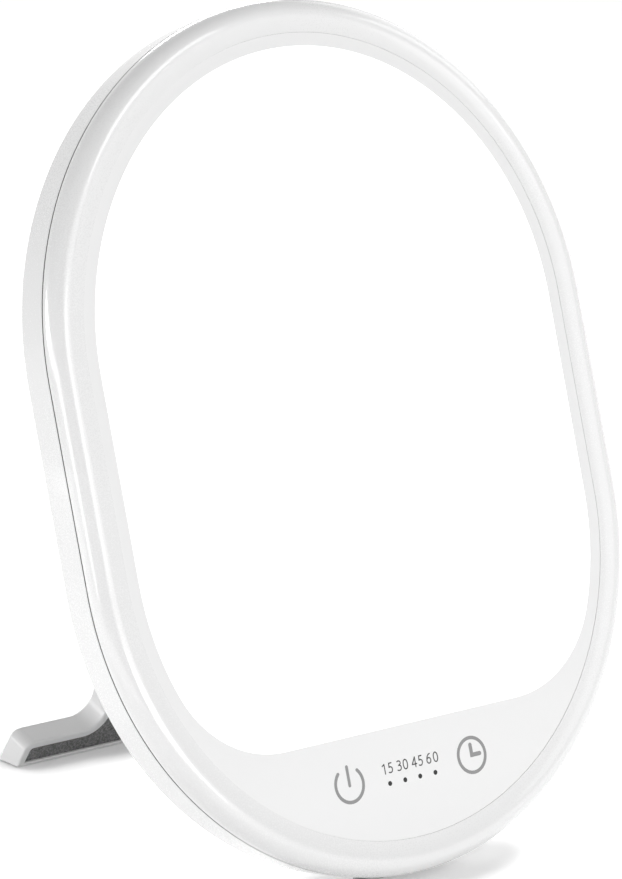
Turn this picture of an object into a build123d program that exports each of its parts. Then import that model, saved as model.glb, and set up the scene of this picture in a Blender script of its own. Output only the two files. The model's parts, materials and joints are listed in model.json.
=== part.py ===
from build123d import *
import math
import os

# A light therapy lamp: an oval light head that leans back on a hinged T-shaped leg.
# Millimetres and degrees. The origin is on the standing surface, at the middle of the
# base pad's underside. +X is the viewer's right, -Y the lit side, +Z up.
# The head is drawn lying flat: x right, y towards its top, z out of the light,
# with z = 0 at the front of the face panel, and is stood up at the end.

# Head outline: straight sides with half-round ends
HEAD_WIDTH = 195.0
HEAD_HEIGHT = 254.0
HEAD_DEPTH = 17.0           # face panel front to back
LEAN = 20.5                 # head back from upright
WALL = 2.0
BOSS_ROOT = 0.5             # bosses and posts start this far inside the wall that carries them

# Front frame
BEZEL_WIDTH = 10.2          # side wall to the edge of the face panel
CREST_HEIGHT = 0.8          # highest line of the bezel over the panel
LIP_HEIGHT = 0.15           # bezel's inner edge over the panel
DISH_DROP = 0.2             # hollow of the bezel face under its chord
SHOULDER_RADIUS = 5.3
SEAM_DEPTH = 5.4            # panel front down to the seam
SEAM_GAP = 0.4
TONGUE_THICK = 0.9
TONGUE_LENGTH = 1.8
FIT = 0.15                  # side play of pieces that drop into each other
LEDGE_WIDTH = 3.4           # ledge under the face panel
LEDGE_THICK = 1.5

# Rear cover
BACK_TAPER = 1.0            # back outline inside the side wall
BACK_CHAMFER = 0.4
POST_HEIGHT = 2.1           # posts under the LED board

# Light stack
PANEL_THICK = 1.8
TAPE_THICK = 0.2
DIFFUSER_THICK = 1.5
STACK_GAP = 0.1
STACK_INSET = 0.4           # diffuser, light box and LED board inside the panel's edge
WINDOW_RING = 3.9           # printed ring round the light window
WINDOW_CHIN = 42.7          # head's lower end up to the window's straight lower edge
WINDOW_OVERLAP = 0.8        # light box's walls outside the window's edge
BOX_BAR = 2.7               # light box bar over the controls
LED_BOARD_THICK = 1.6
REFLECTOR_THICK = 0.3
LED_PITCH = 24.0
LED_LENGTH = 3.5
LED_WIDTH = 2.8
LED_HEIGHT = 0.8
LED_EDGE = 7.0              # outermost LED centre inside the light box wall
LED_SCREW_SPACE = 5.5       # no LED centre nearer a screw than this

# Screws
CASE_SCREW_ANGLE = 45.0
CASE_SCREW_INSET = 5.5      # screw line inside the side wall
BOSS_RADIUS = 2.9
BOSS_HEIGHT = 7.0
SCREW_RADIUS = 1.2
SCREW_PLAY = 0.1
HEAD_RADIUS = 2.2
HEAD_THICK = 1.5
HEAD_SOCKET_RADIUS = 2.6    # counterbore over each case screw
TUBE_WALL = 1.0             # cover tube round that counterbore
CASE_SCREW_LENGTH = 7.4
TUBE_TOP_GAP = 0.3          # frame boss to cover tube
BOARD_SCREW_LENGTH = 4.2
BOARD_SCREW_INSET = 20.0
BOARD_SCREW_ANGLE = 45.0
LOW_SCREW_X = 32.0
LOW_SCREW_UP = 6.0
CONTROL_SCREW_LENGTH = 7.4

# Controls
CONTROL_GAP = 2.8           # face panel back to control board
CONTROL_THICK = 1.4
CONTROL_INSET = 17.5        # board's round edge inside the side wall
CONTROL_EDGE_GAP = 1.7      # light box down to the board's straight edge
KEY_X = 23.1                # power and clock touch keys, left and right of the middle
KEY_INSET = 8.1             # key centres below the board's straight edge
KEY_PAD_RADIUS = 4.5
DOT_PITCH = 5.68            # four indicator dots
DOT_INSET = 10.4            # dots below the board's straight edge
DOT_COUNT = 4
GUIDE_DEPTH = 4.4
GUIDE_END = 2.2
GUIDE_WELL = 2.2
DOT_LED_SIZE = (1.6, 0.8, 0.6)
CONTROL_POST_INSET = 4.5    # posts below the board's straight edge
CONTROL_POST_END = 7.3      # posts inside the board's round edge
CONTROL_POST_RADIUS = 2.6

# Power inlet in the back
INLET_X = 31.0
INLET_INSET = 11.0          # inlet below the control board's straight edge
INLET_BODY = 9.0
INLET_COLLAR_RADIUS = 4.2
INLET_SINK = 0.6            # collar's end inside the back
INLET_BORE_RADIUS = 2.75
INLET_BORE_DEPTH = 8.5
INLET_PIN_RADIUS = 1.0
INLET_PIN_SINK = 0.8
INLET_PIN_TIP = 0.4

# Parts on the control board's back, and the leads to the LED board
PARTS_INSET = 7.0           # below the board's straight edge
COIL_X = 2.0
COIL_SIZE = (6.0, 6.0, 3.2)
CHIP_X = -7.0
CHIP_SIZE = (5.0, 4.0, 1.4)
CAPACITOR_X = (8.5, 13.0, 17.5)
CAPACITOR_SIZE = (1.6, 3.2, 1.2)
PLUG_X = -16.0
PLUG_SIZE = (7.0, 4.5, 8.7)
LEAD_RADIUS = 0.65
LEAD_SPACING = 2.4
LEAD_OVERLAP = 7.8          # leads run on under the LED board

# Air slots in the back, each side of the leg
SLOT_LENGTH = 32.0
SLOT_WIDTH = 2.2
SLOT_PITCH = 9.0
SLOT_ROWS = 4
SLOT_X = 42.0
SLOT_MIDDLE_UP = 12.0

# Hinge and leg
HINGE_UP = 67.3             # axis above the head's middle
HINGE_RISE = 5.4            # axis behind the head's back
LEG_TILT = 18.0             # leg from upright when open
LEG_THICK = 9.0
NECK_WIDTH = 22.0
HEEL = 2.5                  # leg beyond its axis: it meets the bracket and stops the leg
HEEL_STOP_GAP = 0.12
FOOT_WIDTH = 81.6           # at the standing surface
FOOT_HEIGHT = 8.2
FOOT_DRAFT = 13.0
FOOT_CORNER = 3.8
NECK_FILLET = 6.5
LEG_FRONT_ROUND = 0.7
LEG_BACK_CHAMFER = 1.2
RIM_WIDTH = 2.4
RIM_BOTTOM = 1.0
INSERT_SINK = 0.7
INSERT_THICK = 1.5
INSERT_SEAT = 1.6           # width of the step the insert lies on
POCKET_DEPTH = 6.6
POCKET_TOP = 13.0           # axis down to the pocket
RIB_THICK = 1.4
RIB_COUNT = 6
PIN_RADIUS = 1.5
PIN_PLAY = 0.05             # pin in the leg
PIN_GRIP = 0.01             # pin in the bracket
PIN_END = 0.4               # pin's end inside the bracket's cheek
PIN_CHAMFER = 0.3
WASHER_RADIUS = 4.0
WASHER_THICK = 0.5
WASHER_PLAY = 0.05
CHEEK_THICK = 5.0
CHEEK_RADIUS = 4.8
CHEEK_FOOT = 6.5            # cheek's base below the axis
BRACKET_LENGTH = 15.0       # bracket above the axis
BRACKET_END_HEIGHT = 3.6
BRACKET_BASE = 2.4          # plastic under the bracket's screw heads
BRACKET_SCREW_X = 9.0
BRACKET_SCREW_LENGTH = 5.4
BRACKET_CHAMFER = 1.0

# Rubber pads
PAD_PROUD = 0.4             # pads lift the plastic off the surface by this much
PAD_THICK = 1.2
PAD_CORNER = 1.0
BASE_PAD_LENGTH = 30.0
BASE_PAD_DEPTH = 3.2
FOOT_PAD_LENGTH = 15.0
FOOT_PAD_DEPTH = 4.6
FOOT_PAD_X = 27.0

# Worked out from the sizes above
END_RADIUS = HEAD_WIDTH / 2
STRAIGHT = (HEAD_HEIGHT - HEAD_WIDTH) / 2
PANEL_RADIUS = END_RADIUS - BEZEL_WIDTH
BACK_RADIUS = END_RADIUS - BACK_TAPER
FLOOR = -(HEAD_DEPTH - WALL)
LEDGE_TOP = -(PANEL_THICK + TAPE_THICK)
LEDGE_LOW = LEDGE_TOP - LEDGE_THICK
BEZEL_LOW = LIP_HEIGHT - WALL
BOSS_LOW = BEZEL_LOW - BOSS_HEIGHT
TUBE_TOP = BOSS_LOW - TUBE_TOP_GAP
CASE_SCREW_SEAT = TUBE_TOP - WALL
DIFFUSER_TOP = LEDGE_LOW - STACK_GAP
DIFFUSER_LOW = DIFFUSER_TOP - DIFFUSER_THICK
LED_BOARD_LOW = FLOOR + POST_HEIGHT
LED_BOARD_TOP = LED_BOARD_LOW + LED_BOARD_THICK
STACK_RADIUS = PANEL_RADIUS - STACK_INSET
CHAMBER_RADIUS = PANEL_RADIUS - WINDOW_RING + WINDOW_OVERLAP
CHAMBER_BOTTOM = HEAD_HEIGHT / 2 - WINDOW_CHIN + WINDOW_OVERLAP
STACK_BOTTOM = CHAMBER_BOTTOM + BOX_BAR
CONTROL_TOP = -(PANEL_THICK + CONTROL_GAP)
CONTROL_LOW = CONTROL_TOP - CONTROL_THICK
CONTROL_RADIUS = END_RADIUS - CONTROL_INSET
CONTROL_EDGE_Y = -(STACK_BOTTOM + CONTROL_EDGE_GAP)
KEY_Y = CONTROL_EDGE_Y - KEY_INSET
DOT_Y = CONTROL_EDGE_Y - DOT_INSET
INLET_Y = CONTROL_EDGE_Y - INLET_INSET
PARTS_Y = CONTROL_EDGE_Y - PARTS_INSET
CHEEK_IN = NECK_WIDTH / 2 + WASHER_THICK + 2 * WASHER_PLAY
CHEEK_OUT = CHEEK_IN + CHEEK_THICK
AXIS_Z = -(HEAD_DEPTH + HINGE_RISE)
BRIDGE_LOW = (HEEL * math.cos(math.radians(LEAN + LEG_TILT))
              + LEG_THICK / 2 * math.sin(math.radians(LEAN + LEG_TILT)) + HEEL_STOP_GAP)

# Where the head and the leg stand
lean = math.radians(LEAN)
tilt = math.radians(LEG_TILT)
LOW_EDGE = STRAIGHT + BACK_RADIUS
HEAD_Y = LOW_EDGE * math.sin(lean) - HEAD_DEPTH * math.cos(lean) + BASE_PAD_DEPTH / 2
HEAD_Z = LOW_EDGE * math.cos(lean) + HEAD_DEPTH * math.sin(lean) + PAD_PROUD
HEAD_PLACE = Location((0, HEAD_Y, HEAD_Z), (90 - LEAN, 0, 0))
HINGE_PLACE = HEAD_PLACE * Location((0, HINGE_UP, AXIS_Z))
LEG_PLACE = HINGE_PLACE * Location((0, 0, 0), (LEAN + LEG_TILT, 0, 0))
AXIS_HEIGHT = HINGE_PLACE.position.Z
LEG_LENGTH = (AXIS_HEIGHT - PAD_PROUD - LEG_THICK / 2 * math.sin(tilt)) / math.cos(tilt)
FOOT_TOP = FOOT_HEIGHT - LEG_LENGTH
LEG_END = -LEG_LENGTH - LEG_THICK      # past the surface, trimmed when the leg stands
LEG_TO_FLOOR = LEG_LENGTH + LEG_THICK / 2 * math.tan(tilt)
FOOT_MIDDLE_Y = HINGE_PLACE.position.Y + LEG_TO_FLOOR * math.sin(tilt)

LOW_ALIGN = (Align.CENTER, Align.CENTER, Align.MIN)


def oval(radius):
    """Head outline with end radius `radius`, about the head's middle."""
    return SlotCenterToCenter(2 * STRAIGHT, 2 * radius, rotation=90)


def plate(sketch, low, high):
    return extrude(Plane.XY.offset(low) * sketch, high - low)


def ring(profile):
    """Carries a (distance from the end's centre, height) profile once round the oval."""
    section = Plane.XZ * profile
    top = revolve(Pos(0, STRAIGHT, 0) * section, Axis((0, STRAIGHT, 0), (0, 0, 1)), 180)
    side = extrude(section, STRAIGHT, both=True)
    return top + mirror(top, about=Plane.XZ) + side + mirror(side, about=Plane.YZ)


def rod(x, y, low, high, radius):
    return Pos(x, y, low) * Cylinder(radius, high - low, align=LOW_ALIGN)


def block(x, y, low, size):
    return Pos(x, y, low) * Box(*size, align=LOW_ALIGN)


def light_area(radius, bottom):
    """Oval cut off straight `bottom` below the middle: the lit part above the controls."""
    keep = Pos(0, (HEAD_HEIGHT - bottom) / 2) * Rectangle(2 * HEAD_WIDTH, HEAD_HEIGHT + bottom)
    return oval(radius) & keep


def case_screw_places():
    line = END_RADIUS - CASE_SCREW_INSET
    turn = math.radians(CASE_SCREW_ANGLE)
    x, y = line * math.cos(turn), STRAIGHT + line * math.sin(turn)
    return [(x, y), (-x, y), (x, -y), (-x, -y)]


def board_screw_places():
    line = CHAMBER_RADIUS - BOARD_SCREW_INSET
    turn = math.radians(BOARD_SCREW_ANGLE)
    spots = [(line * math.cos(turn), STRAIGHT + line * math.sin(turn)),
             (LOW_SCREW_X, LOW_SCREW_UP - CHAMBER_BOTTOM)]
    return spots + [(-x, y) for x, y in spots]


def led_places():
    """Grid of LED centres over the lit area, clear of its walls and of the board screws."""
    reach = CHAMBER_RADIUS - LED_EDGE
    steps = range(-round(HEAD_HEIGHT / LED_PITCH), round(HEAD_HEIGHT / LED_PITCH) + 1)
    places = []
    for i in steps:
        for j in steps:
            x, y = i * LED_PITCH, j * LED_PITCH
            inside = math.hypot(x, max(abs(y) - STRAIGHT, 0)) <= reach
            above = y >= LED_EDGE - CHAMBER_BOTTOM
            free = all(math.dist((x, y), s) > LED_SCREW_SPACE for s in board_screw_places())
            if inside and above and free:
                places.append((x, y))
    return places


def dot_places():
    return [((i - (DOT_COUNT - 1) / 2) * DOT_PITCH, DOT_Y) for i in range(DOT_COUNT)]


def control_post_places():
    y = CONTROL_EDGE_Y - CONTROL_POST_INSET
    x = math.sqrt(CONTROL_RADIUS ** 2 - (y + STRAIGHT) ** 2) - CONTROL_POST_END
    return [(x, y), (-x, y)]


def bracket_screw_places():
    up = HINGE_UP + (BRIDGE_LOW + BRACKET_LENGTH) / 2
    return [(BRACKET_SCREW_X, up), (-BRACKET_SCREW_X, up)]


def screw(x, y, seat, length, head_down=1):
    """Pan-head screw: its head's underside at `seat`, its shank running the other way."""
    head_low = seat - HEAD_THICK if head_down > 0 else seat
    shank_low = seat if head_down > 0 else seat - length
    head = rod(x, y, head_low, head_low + HEAD_THICK, HEAD_RADIUS)
    return head + rod(x, y, shank_low, shank_low + length, SCREW_RADIUS)


def front_frame():
    """Dished bezel, rounded shoulder and side wall down to the seam, with the panel's ledge."""
    crest = (END_RADIUS - SHOULDER_RADIUS, CREST_HEIGHT)
    lip = (PANEL_RADIUS, LIP_HEIGHT)
    sag = ((crest[0] + lip[0]) / 2, (crest[1] + lip[1]) / 2 - DISH_DROP)
    turn = math.radians(45)
    knee = (crest[0] + SHOULDER_RADIUS * math.sin(turn),
            CREST_HEIGHT - SHOULDER_RADIUS * (1 - math.cos(turn)))
    wall_top = (END_RADIUS, CREST_HEIGHT - SHOULDER_RADIUS)
    inside = END_RADIUS - WALL
    tongue = inside + TONGUE_THICK
    faces = ThreePointArc(lip, sag, crest) + ThreePointArc(crest, knee, wall_top)
    back = Polyline(
        wall_top, (END_RADIUS, -SEAM_DEPTH), (tongue, -SEAM_DEPTH),
        (tongue, -SEAM_DEPTH - TONGUE_LENGTH), (inside, -SEAM_DEPTH - TONGUE_LENGTH),
        (inside, WALL - SEAM_DEPTH), (inside - WALL, BEZEL_LOW),
        (PANEL_RADIUS + WALL, BEZEL_LOW), (PANEL_RADIUS + WALL, LEDGE_LOW),
        (PANEL_RADIUS - LEDGE_WIDTH, LEDGE_LOW), (PANEL_RADIUS - LEDGE_WIDTH, LEDGE_TOP),
        (PANEL_RADIUS, LEDGE_TOP), lip)
    frame = ring(make_face(faces + back))
    tip = CASE_SCREW_SEAT + CASE_SCREW_LENGTH + SCREW_PLAY
    for x, y in case_screw_places():
        frame += rod(x, y, BOSS_LOW, BEZEL_LOW + BOSS_ROOT, BOSS_RADIUS)
        frame -= rod(x, y, BOSS_LOW, tip, SCREW_RADIUS + SCREW_PLAY)
    return frame


def rear_cover():
    """Tapered tray with screw tubes, board posts, inlet hole, air slots and the pad's seat."""
    inside = END_RADIUS - WALL
    rabbet = inside + TONGUE_THICK + FIT
    rim = -SEAM_DEPTH - SEAM_GAP
    step = -SEAM_DEPTH - TONGUE_LENGTH - SEAM_GAP
    profile = Polyline(
        (0, -HEAD_DEPTH), (BACK_RADIUS - BACK_CHAMFER, -HEAD_DEPTH),
        (BACK_RADIUS, BACK_CHAMFER - HEAD_DEPTH), (END_RADIUS, rim), (rabbet, rim),
        (rabbet, step), (inside, step), (BACK_RADIUS - WALL, FLOOR), (0, FLOOR), close=True)
    cover = ring(make_face(profile))
    for x, y in case_screw_places():
        cover += rod(x, y, FLOOR - BOSS_ROOT, TUBE_TOP, HEAD_SOCKET_RADIUS + TUBE_WALL)
    for x, y in board_screw_places() + bracket_screw_places():
        cover += rod(x, y, FLOOR - BOSS_ROOT, LED_BOARD_LOW, BOSS_RADIUS)
    for x, y in control_post_places():
        cover += rod(x, y, FLOOR - BOSS_ROOT, CONTROL_LOW, CONTROL_POST_RADIUS)
    for x, y in case_screw_places():
        cover -= rod(x, y, -HEAD_DEPTH, CASE_SCREW_SEAT, HEAD_SOCKET_RADIUS)
        cover -= rod(x, y, -HEAD_DEPTH, TUBE_TOP, SCREW_RADIUS + SCREW_PLAY)
    for x, y in board_screw_places():
        bottom = LED_BOARD_TOP - BOARD_SCREW_LENGTH - SCREW_PLAY
        cover -= rod(x, y, bottom, LED_BOARD_LOW, SCREW_RADIUS + SCREW_PLAY)
    for x, y in bracket_screw_places():
        cover -= rod(x, y, -HEAD_DEPTH, LED_BOARD_LOW, SCREW_RADIUS + SCREW_PLAY)
    for x, y in control_post_places():
        cover -= rod(x, y, FLOOR, CONTROL_LOW, SCREW_RADIUS + SCREW_PLAY)
    hole = INLET_COLLAR_RADIUS + FIT
    cover -= rod(INLET_X, INLET_Y, -HEAD_DEPTH, FLOOR, hole)
    for side in (-1, 1):
        for row in range(SLOT_ROWS):
            y = SLOT_MIDDLE_UP + (row - (SLOT_ROWS - 1) / 2) * SLOT_PITCH
            slot = Pos(side * SLOT_X, y) * SlotOverall(SLOT_LENGTH, SLOT_WIDTH)
            cover -= plate(slot, -HEAD_DEPTH, FLOOR)
    return HEAD_PLACE * cover - base_pad_seat()


def base_pad_seat():
    """Flat recess for the base pad, open past the head's back."""
    size = (BASE_PAD_LENGTH + 2 * FIT, 2 * BASE_PAD_DEPTH + 2 * FIT, PAD_THICK)
    return block(0, BASE_PAD_DEPTH / 2, 0, size)


def base_pad():
    """Rubber strip under the head's lower back edge."""
    pad = block(0, 0, 0, (BASE_PAD_LENGTH, BASE_PAD_DEPTH, PAD_THICK))
    return fillet(pad.edges().filter_by(Axis.Z), PAD_CORNER)


def face_panel():
    return plate(oval(PANEL_RADIUS - FIT), -PANEL_THICK, 0)


def panel_tape():
    wide = oval(PANEL_RADIUS - 2 * FIT) - oval(PANEL_RADIUS - LEDGE_WIDTH + FIT)
    return plate(wide, LEDGE_TOP, -PANEL_THICK)


def diffuser_sheet():
    return plate(light_area(STACK_RADIUS, STACK_BOTTOM), DIFFUSER_LOW, DIFFUSER_TOP)


def light_box():
    """White wall round the lit area, from the LED board up to the diffuser."""
    outer = light_area(STACK_RADIUS, STACK_BOTTOM)
    return plate(outer - light_area(CHAMBER_RADIUS, CHAMBER_BOTTOM), LED_BOARD_TOP, DIFFUSER_LOW)


def led_board():
    board = plate(light_area(STACK_RADIUS, STACK_BOTTOM), LED_BOARD_LOW, LED_BOARD_TOP)
    for x, y in board_screw_places():
        board -= rod(x, y, LED_BOARD_LOW, LED_BOARD_TOP, SCREW_RADIUS + SCREW_PLAY)
    return board


def reflector_sheet():
    """Thin white sheet on the LED board with a window for each LED and screw head."""
    sheet = light_area(CHAMBER_RADIUS - FIT, CHAMBER_BOTTOM - FIT)
    size = (LED_LENGTH + 4 * FIT, LED_WIDTH + 4 * FIT)
    holes = [Pos(x, y) * Rectangle(*size) for x, y in led_places()]
    holes += [Pos(x, y) * Circle(HEAD_RADIUS + 2 * FIT) for x, y in board_screw_places()]
    return plate(sheet - holes, LED_BOARD_TOP, LED_BOARD_TOP + REFLECTOR_THICK)


def leds():
    size = (LED_LENGTH, LED_WIDTH, LED_HEIGHT)
    return [block(x, y, LED_BOARD_TOP, size) for x, y in led_places()]


def board_screws():
    return [screw(x, y, LED_BOARD_TOP, BOARD_SCREW_LENGTH, -1) for x, y in board_screw_places()]


def case_screws():
    return [screw(x, y, CASE_SCREW_SEAT, CASE_SCREW_LENGTH) for x, y in case_screw_places()]


def control_board():
    """Round-bottomed board behind the touch keys."""
    below = Pos(0, CONTROL_EDGE_Y - HEAD_HEIGHT / 2) * Rectangle(HEAD_WIDTH, HEAD_HEIGHT)
    board = plate(oval(CONTROL_RADIUS) & below, CONTROL_LOW, CONTROL_TOP)
    for x, y in control_post_places():
        board -= rod(x, y, CONTROL_LOW, CONTROL_TOP, SCREW_RADIUS + SCREW_PLAY)
    return board


def control_screws():
    return [screw(x, y, CONTROL_TOP, CONTROL_SCREW_LENGTH, -1) for x, y in control_post_places()]


def board_components():
    """Coil, chip, capacitors and the lead plug on the back of the control board."""
    parts = [(COIL_X, COIL_SIZE), (CHIP_X, CHIP_SIZE), (PLUG_X, PLUG_SIZE)]
    parts += [(x, CAPACITOR_SIZE) for x in CAPACITOR_X]
    return [block(x, PARTS_Y, CONTROL_LOW - size[2], size) for x, size in parts]


def lamp_leads():
    """Two leads from the side of the plug's low end, along under the LED board."""
    start = PARTS_Y + PLUG_SIZE[1] / 2
    length = LEAD_OVERLAP - STACK_BOTTOM - start
    height = LED_BOARD_LOW - LEAD_RADIUS - STACK_GAP
    leads = []
    for x in (PLUG_X - LEAD_SPACING / 2, PLUG_X + LEAD_SPACING / 2):
        end = Plane(origin=(x, start, height), z_dir=(0, 1, 0))
        leads.append(extrude(end * Circle(LEAD_RADIUS), length))
    return leads


def touch_pads():
    """Springy conductive pads that carry the power and clock keys through to the board."""
    return [rod(side * KEY_X, KEY_Y, CONTROL_TOP, -PANEL_THICK - STACK_GAP, KEY_PAD_RADIUS)
            for side in (-1, 1)]


def indicator_guide():
    """Light-tight bar with one well for each indicator dot."""
    size = ((DOT_COUNT - 1) * DOT_PITCH + 2 * GUIDE_END, GUIDE_DEPTH, CONTROL_GAP - STACK_GAP)
    bar = block(0, DOT_Y, CONTROL_TOP, size)
    for x, y in dot_places():
        bar -= block(x, y, CONTROL_TOP, (GUIDE_WELL, GUIDE_WELL, CONTROL_GAP))
    return bar


def indicator_leds():
    return [block(x, y, CONTROL_TOP, DOT_LED_SIZE) for x, y in dot_places()]


def dc_socket():
    """Barrel socket soldered to the control board, its collar through the back."""
    height = CONTROL_LOW - FLOOR - STACK_GAP
    body = block(INLET_X, INLET_Y, FLOOR + STACK_GAP, (INLET_BODY, INLET_BODY, height))
    mouth = INLET_SINK - HEAD_DEPTH
    body += rod(INLET_X, INLET_Y, mouth, FLOOR + WALL, INLET_COLLAR_RADIUS)
    return body - rod(INLET_X, INLET_Y, mouth, mouth + INLET_BORE_DEPTH, INLET_BORE_RADIUS)


def socket_pin():
    mouth = INLET_SINK - HEAD_DEPTH
    pin = rod(INLET_X, INLET_Y, mouth + INLET_PIN_SINK, mouth + INLET_BORE_DEPTH,
              INLET_PIN_RADIUS)
    return chamfer(pin.edges().sort_by(Axis.Z)[0], INLET_PIN_TIP)


def bracket_side():
    """Cheek outline from the side: x up the head from the hinge axis, y out of its back."""
    knuckle = Pos(0, HINGE_RISE) * Circle(CHEEK_RADIUS)
    foot = Line((-CHEEK_FOOT, 0), (BRACKET_LENGTH, 0))
    end = Line((BRACKET_LENGTH, 0), (BRACKET_LENGTH, BRACKET_END_HEIGHT))
    return make_hull(knuckle.edges() + foot.edges() + end.edges())


def hinge_bracket():
    """Two cheeks for the pin, joined by a bridge that stops the leg's heel when it is open."""
    side = Plane(origin=(0, HINGE_UP, -HEAD_DEPTH), x_dir=(0, 1, 0), z_dir=(-1, 0, 0))
    body = extrude(side * bracket_side(), CHEEK_OUT, both=True)
    body = chamfer(body.edges().filter_by(GeomType.CIRCLE), BRACKET_CHAMFER)
    reach = 2 * BRACKET_LENGTH
    opening = Pos(BRIDGE_LOW - reach, reach) * Rectangle(2 * reach, 2 * reach)
    body -= extrude(side * opening, CHEEK_IN, both=True)
    pin_hole = Pos(0, HINGE_RISE) * Circle(PIN_RADIUS + PIN_GRIP)
    body -= extrude(side * pin_hole, CHEEK_OUT, both=True)
    for x, y in bracket_screw_places():
        seat = -HEAD_DEPTH - BRACKET_BASE
        body -= rod(x, y, seat, -HEAD_DEPTH, SCREW_RADIUS + SCREW_PLAY)
        body -= rod(x, y, seat - HEAD_DEPTH, seat, HEAD_SOCKET_RADIUS)
    return body


def bracket_screws():
    seat = -HEAD_DEPTH - BRACKET_BASE
    return [screw(x, y, seat, BRACKET_SCREW_LENGTH) for x, y in bracket_screw_places()]


def across(radius, half_length):
    """Rod along x through the hinge axis, in the leg's own frame."""
    return extrude(Plane.YZ * Circle(radius), half_length, both=True)


def hinge_pin():
    pin = across(PIN_RADIUS, CHEEK_OUT - PIN_END)
    return chamfer(pin.edges().filter_by(GeomType.CIRCLE), PIN_CHAMFER)


def friction_washers():
    start = NECK_WIDTH / 2 + WASHER_PLAY
    face = Plane.YZ.offset(start) * (Circle(WASHER_RADIUS) - Circle(PIN_RADIUS + PIN_PLAY))
    washer = extrude(face, WASHER_THICK)
    return [washer, mirror(washer, about=Plane.YZ)]


def leg_outline(inset, low, high):
    """T outline of the leg, drawn in by `inset`; y = 0 is the hinge axis, the foot is down."""
    neck = NECK_WIDTH / 2 - inset
    shoulder = FOOT_TOP - inset
    draft = math.tan(math.radians(FOOT_DRAFT))
    at_shoulder = FOOT_WIDTH / 2 - inset - (shoulder + LEG_LENGTH) * draft
    at_low = FOOT_WIDTH / 2 - inset - (low + LEG_LENGTH) * draft
    right = [(neck, high), (neck, shoulder), (at_shoulder, shoulder), (at_low, low)]
    left = [(-x, y) for x, y in reversed(right)]
    outline = make_face(Polyline(*right, *left, close=True))
    crook = [v for v in outline.vertices() if abs(v.Y - shoulder) < FIT and abs(v.X) < 2 * neck]
    outline = fillet(crook, NECK_FILLET + inset)
    tip = [v for v in outline.vertices()
           if abs(v.Y - shoulder) < FIT and abs(v.X) > at_shoulder - FIT]
    return fillet(tip, max(FOOT_CORNER - inset, FIT))


def insert_step():
    """Height of the step in the leg's front that the insert lies on."""
    return LEG_THICK / 2 - INSERT_SINK - INSERT_THICK


def leg_ribs():
    """Cross ribs in the leg's pocket, evenly spaced from the hinge end to the foot."""
    first = -POCKET_TOP
    pitch = (first - FOOT_TOP) / (RIB_COUNT + 1)
    return [Pos(0, first - (i + 1) * pitch) * Rectangle(FOOT_WIDTH, RIB_THICK)
            for i in range(RIB_COUNT)]


def stand_leg():
    """Moulded T-shaped leg: ribbed pocket in its front, pin hole and square heel at the top."""
    leg = plate(leg_outline(0, LEG_END, 2 * HEEL), -LEG_THICK / 2, LEG_THICK / 2)
    front = leg.edges().group_by(Axis.Z)[-1]
    leg = fillet(front, LEG_FRONT_ROUND)
    back = leg.edges().group_by(Axis.Z)[0]
    leg = chamfer(back, LEG_BACK_CHAMFER)
    leg -= block(0, 2 * HEEL, -LEG_THICK, (2 * NECK_WIDTH, 2 * HEEL, 2 * LEG_THICK))
    low = RIM_BOTTOM - LEG_LENGTH
    leg -= plate(leg_outline(RIM_WIDTH, low, -POCKET_TOP), insert_step(), LEG_THICK)
    deep = RIM_WIDTH + INSERT_SEAT
    well = leg_outline(deep, low + INSERT_SEAT, -POCKET_TOP - INSERT_SEAT) - leg_ribs()
    leg -= plate(well, LEG_THICK / 2 - POCKET_DEPTH, LEG_THICK)
    leg -= across(PIN_RADIUS + PIN_PLAY, NECK_WIDTH)
    leg = LEG_PLACE * leg
    leg -= block(0, FOOT_MIDDLE_Y, PAD_PROUD - LEG_LENGTH, (HEAD_WIDTH, LEG_LENGTH, LEG_LENGTH))
    for pad in foot_pad_blocks(FIT):
        leg -= pad
    return leg


def leg_insert():
    """Dark cover that lies in the leg's front, a little under its rim."""
    inset = RIM_WIDTH + FIT
    outline = leg_outline(inset, RIM_BOTTOM + FIT - LEG_LENGTH, -POCKET_TOP - FIT)
    return LEG_PLACE * plate(outline, insert_step(), insert_step() + INSERT_THICK)


def foot_pad_blocks(play):
    size = (FOOT_PAD_LENGTH + 2 * play, FOOT_PAD_DEPTH + 2 * play, PAD_THICK)
    return [block(side * FOOT_PAD_X, FOOT_MIDDLE_Y, 0, size) for side in (-1, 1)]


def foot_pads():
    return [fillet(pad.edges().filter_by(Axis.Z), PAD_CORNER)
            for pad in foot_pad_blocks(0)]


FLAT_IN_HEAD = {
    "front_frame": front_frame, "face_panel": face_panel, "panel_tape": panel_tape,
    "diffuser_sheet": diffuser_sheet, "light_box": light_box, "reflector_sheet": reflector_sheet,
    "leds": leds, "led_board": led_board, "board_screws": board_screws,
    "case_screws": case_screws, "control_board": control_board,
    "control_screws": control_screws, "board_components": board_components,
    "lamp_leads": lamp_leads, "touch_pads": touch_pads, "indicator_guide": indicator_guide,
    "indicator_leds": indicator_leds, "dc_socket": dc_socket, "socket_pin": socket_pin,
    "hinge_bracket": hinge_bracket, "bracket_screws": bracket_screws}
ON_HINGE = {"hinge_pin": hinge_pin, "friction_washers": friction_washers}
STANDING = {"rear_cover": rear_cover, "base_pad": base_pad, "stand_leg": stand_leg,
            "leg_insert": leg_insert, "foot_pads": foot_pads}


def save(name, shape, place):
    pieces = shape if isinstance(shape, list) else [shape]
    solids = [solid for piece in pieces for solid in (place * piece).solids()]
    export_step(Compound(children=solids) if len(solids) > 1 else solids[0],
                "parts/" + name + ".step")


os.makedirs("parts", exist_ok=True)
for groups, place in ((FLAT_IN_HEAD, HEAD_PLACE), (ON_HINGE, HINGE_PLACE), (STANDING, Pos())):
    for name, make in groups.items():
        save(name, make(), place)
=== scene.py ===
import json
import math
import bpy
import bmesh
from mathutils import Matrix, Vector
from mathutils.geometry import tessellate_polygon


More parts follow.
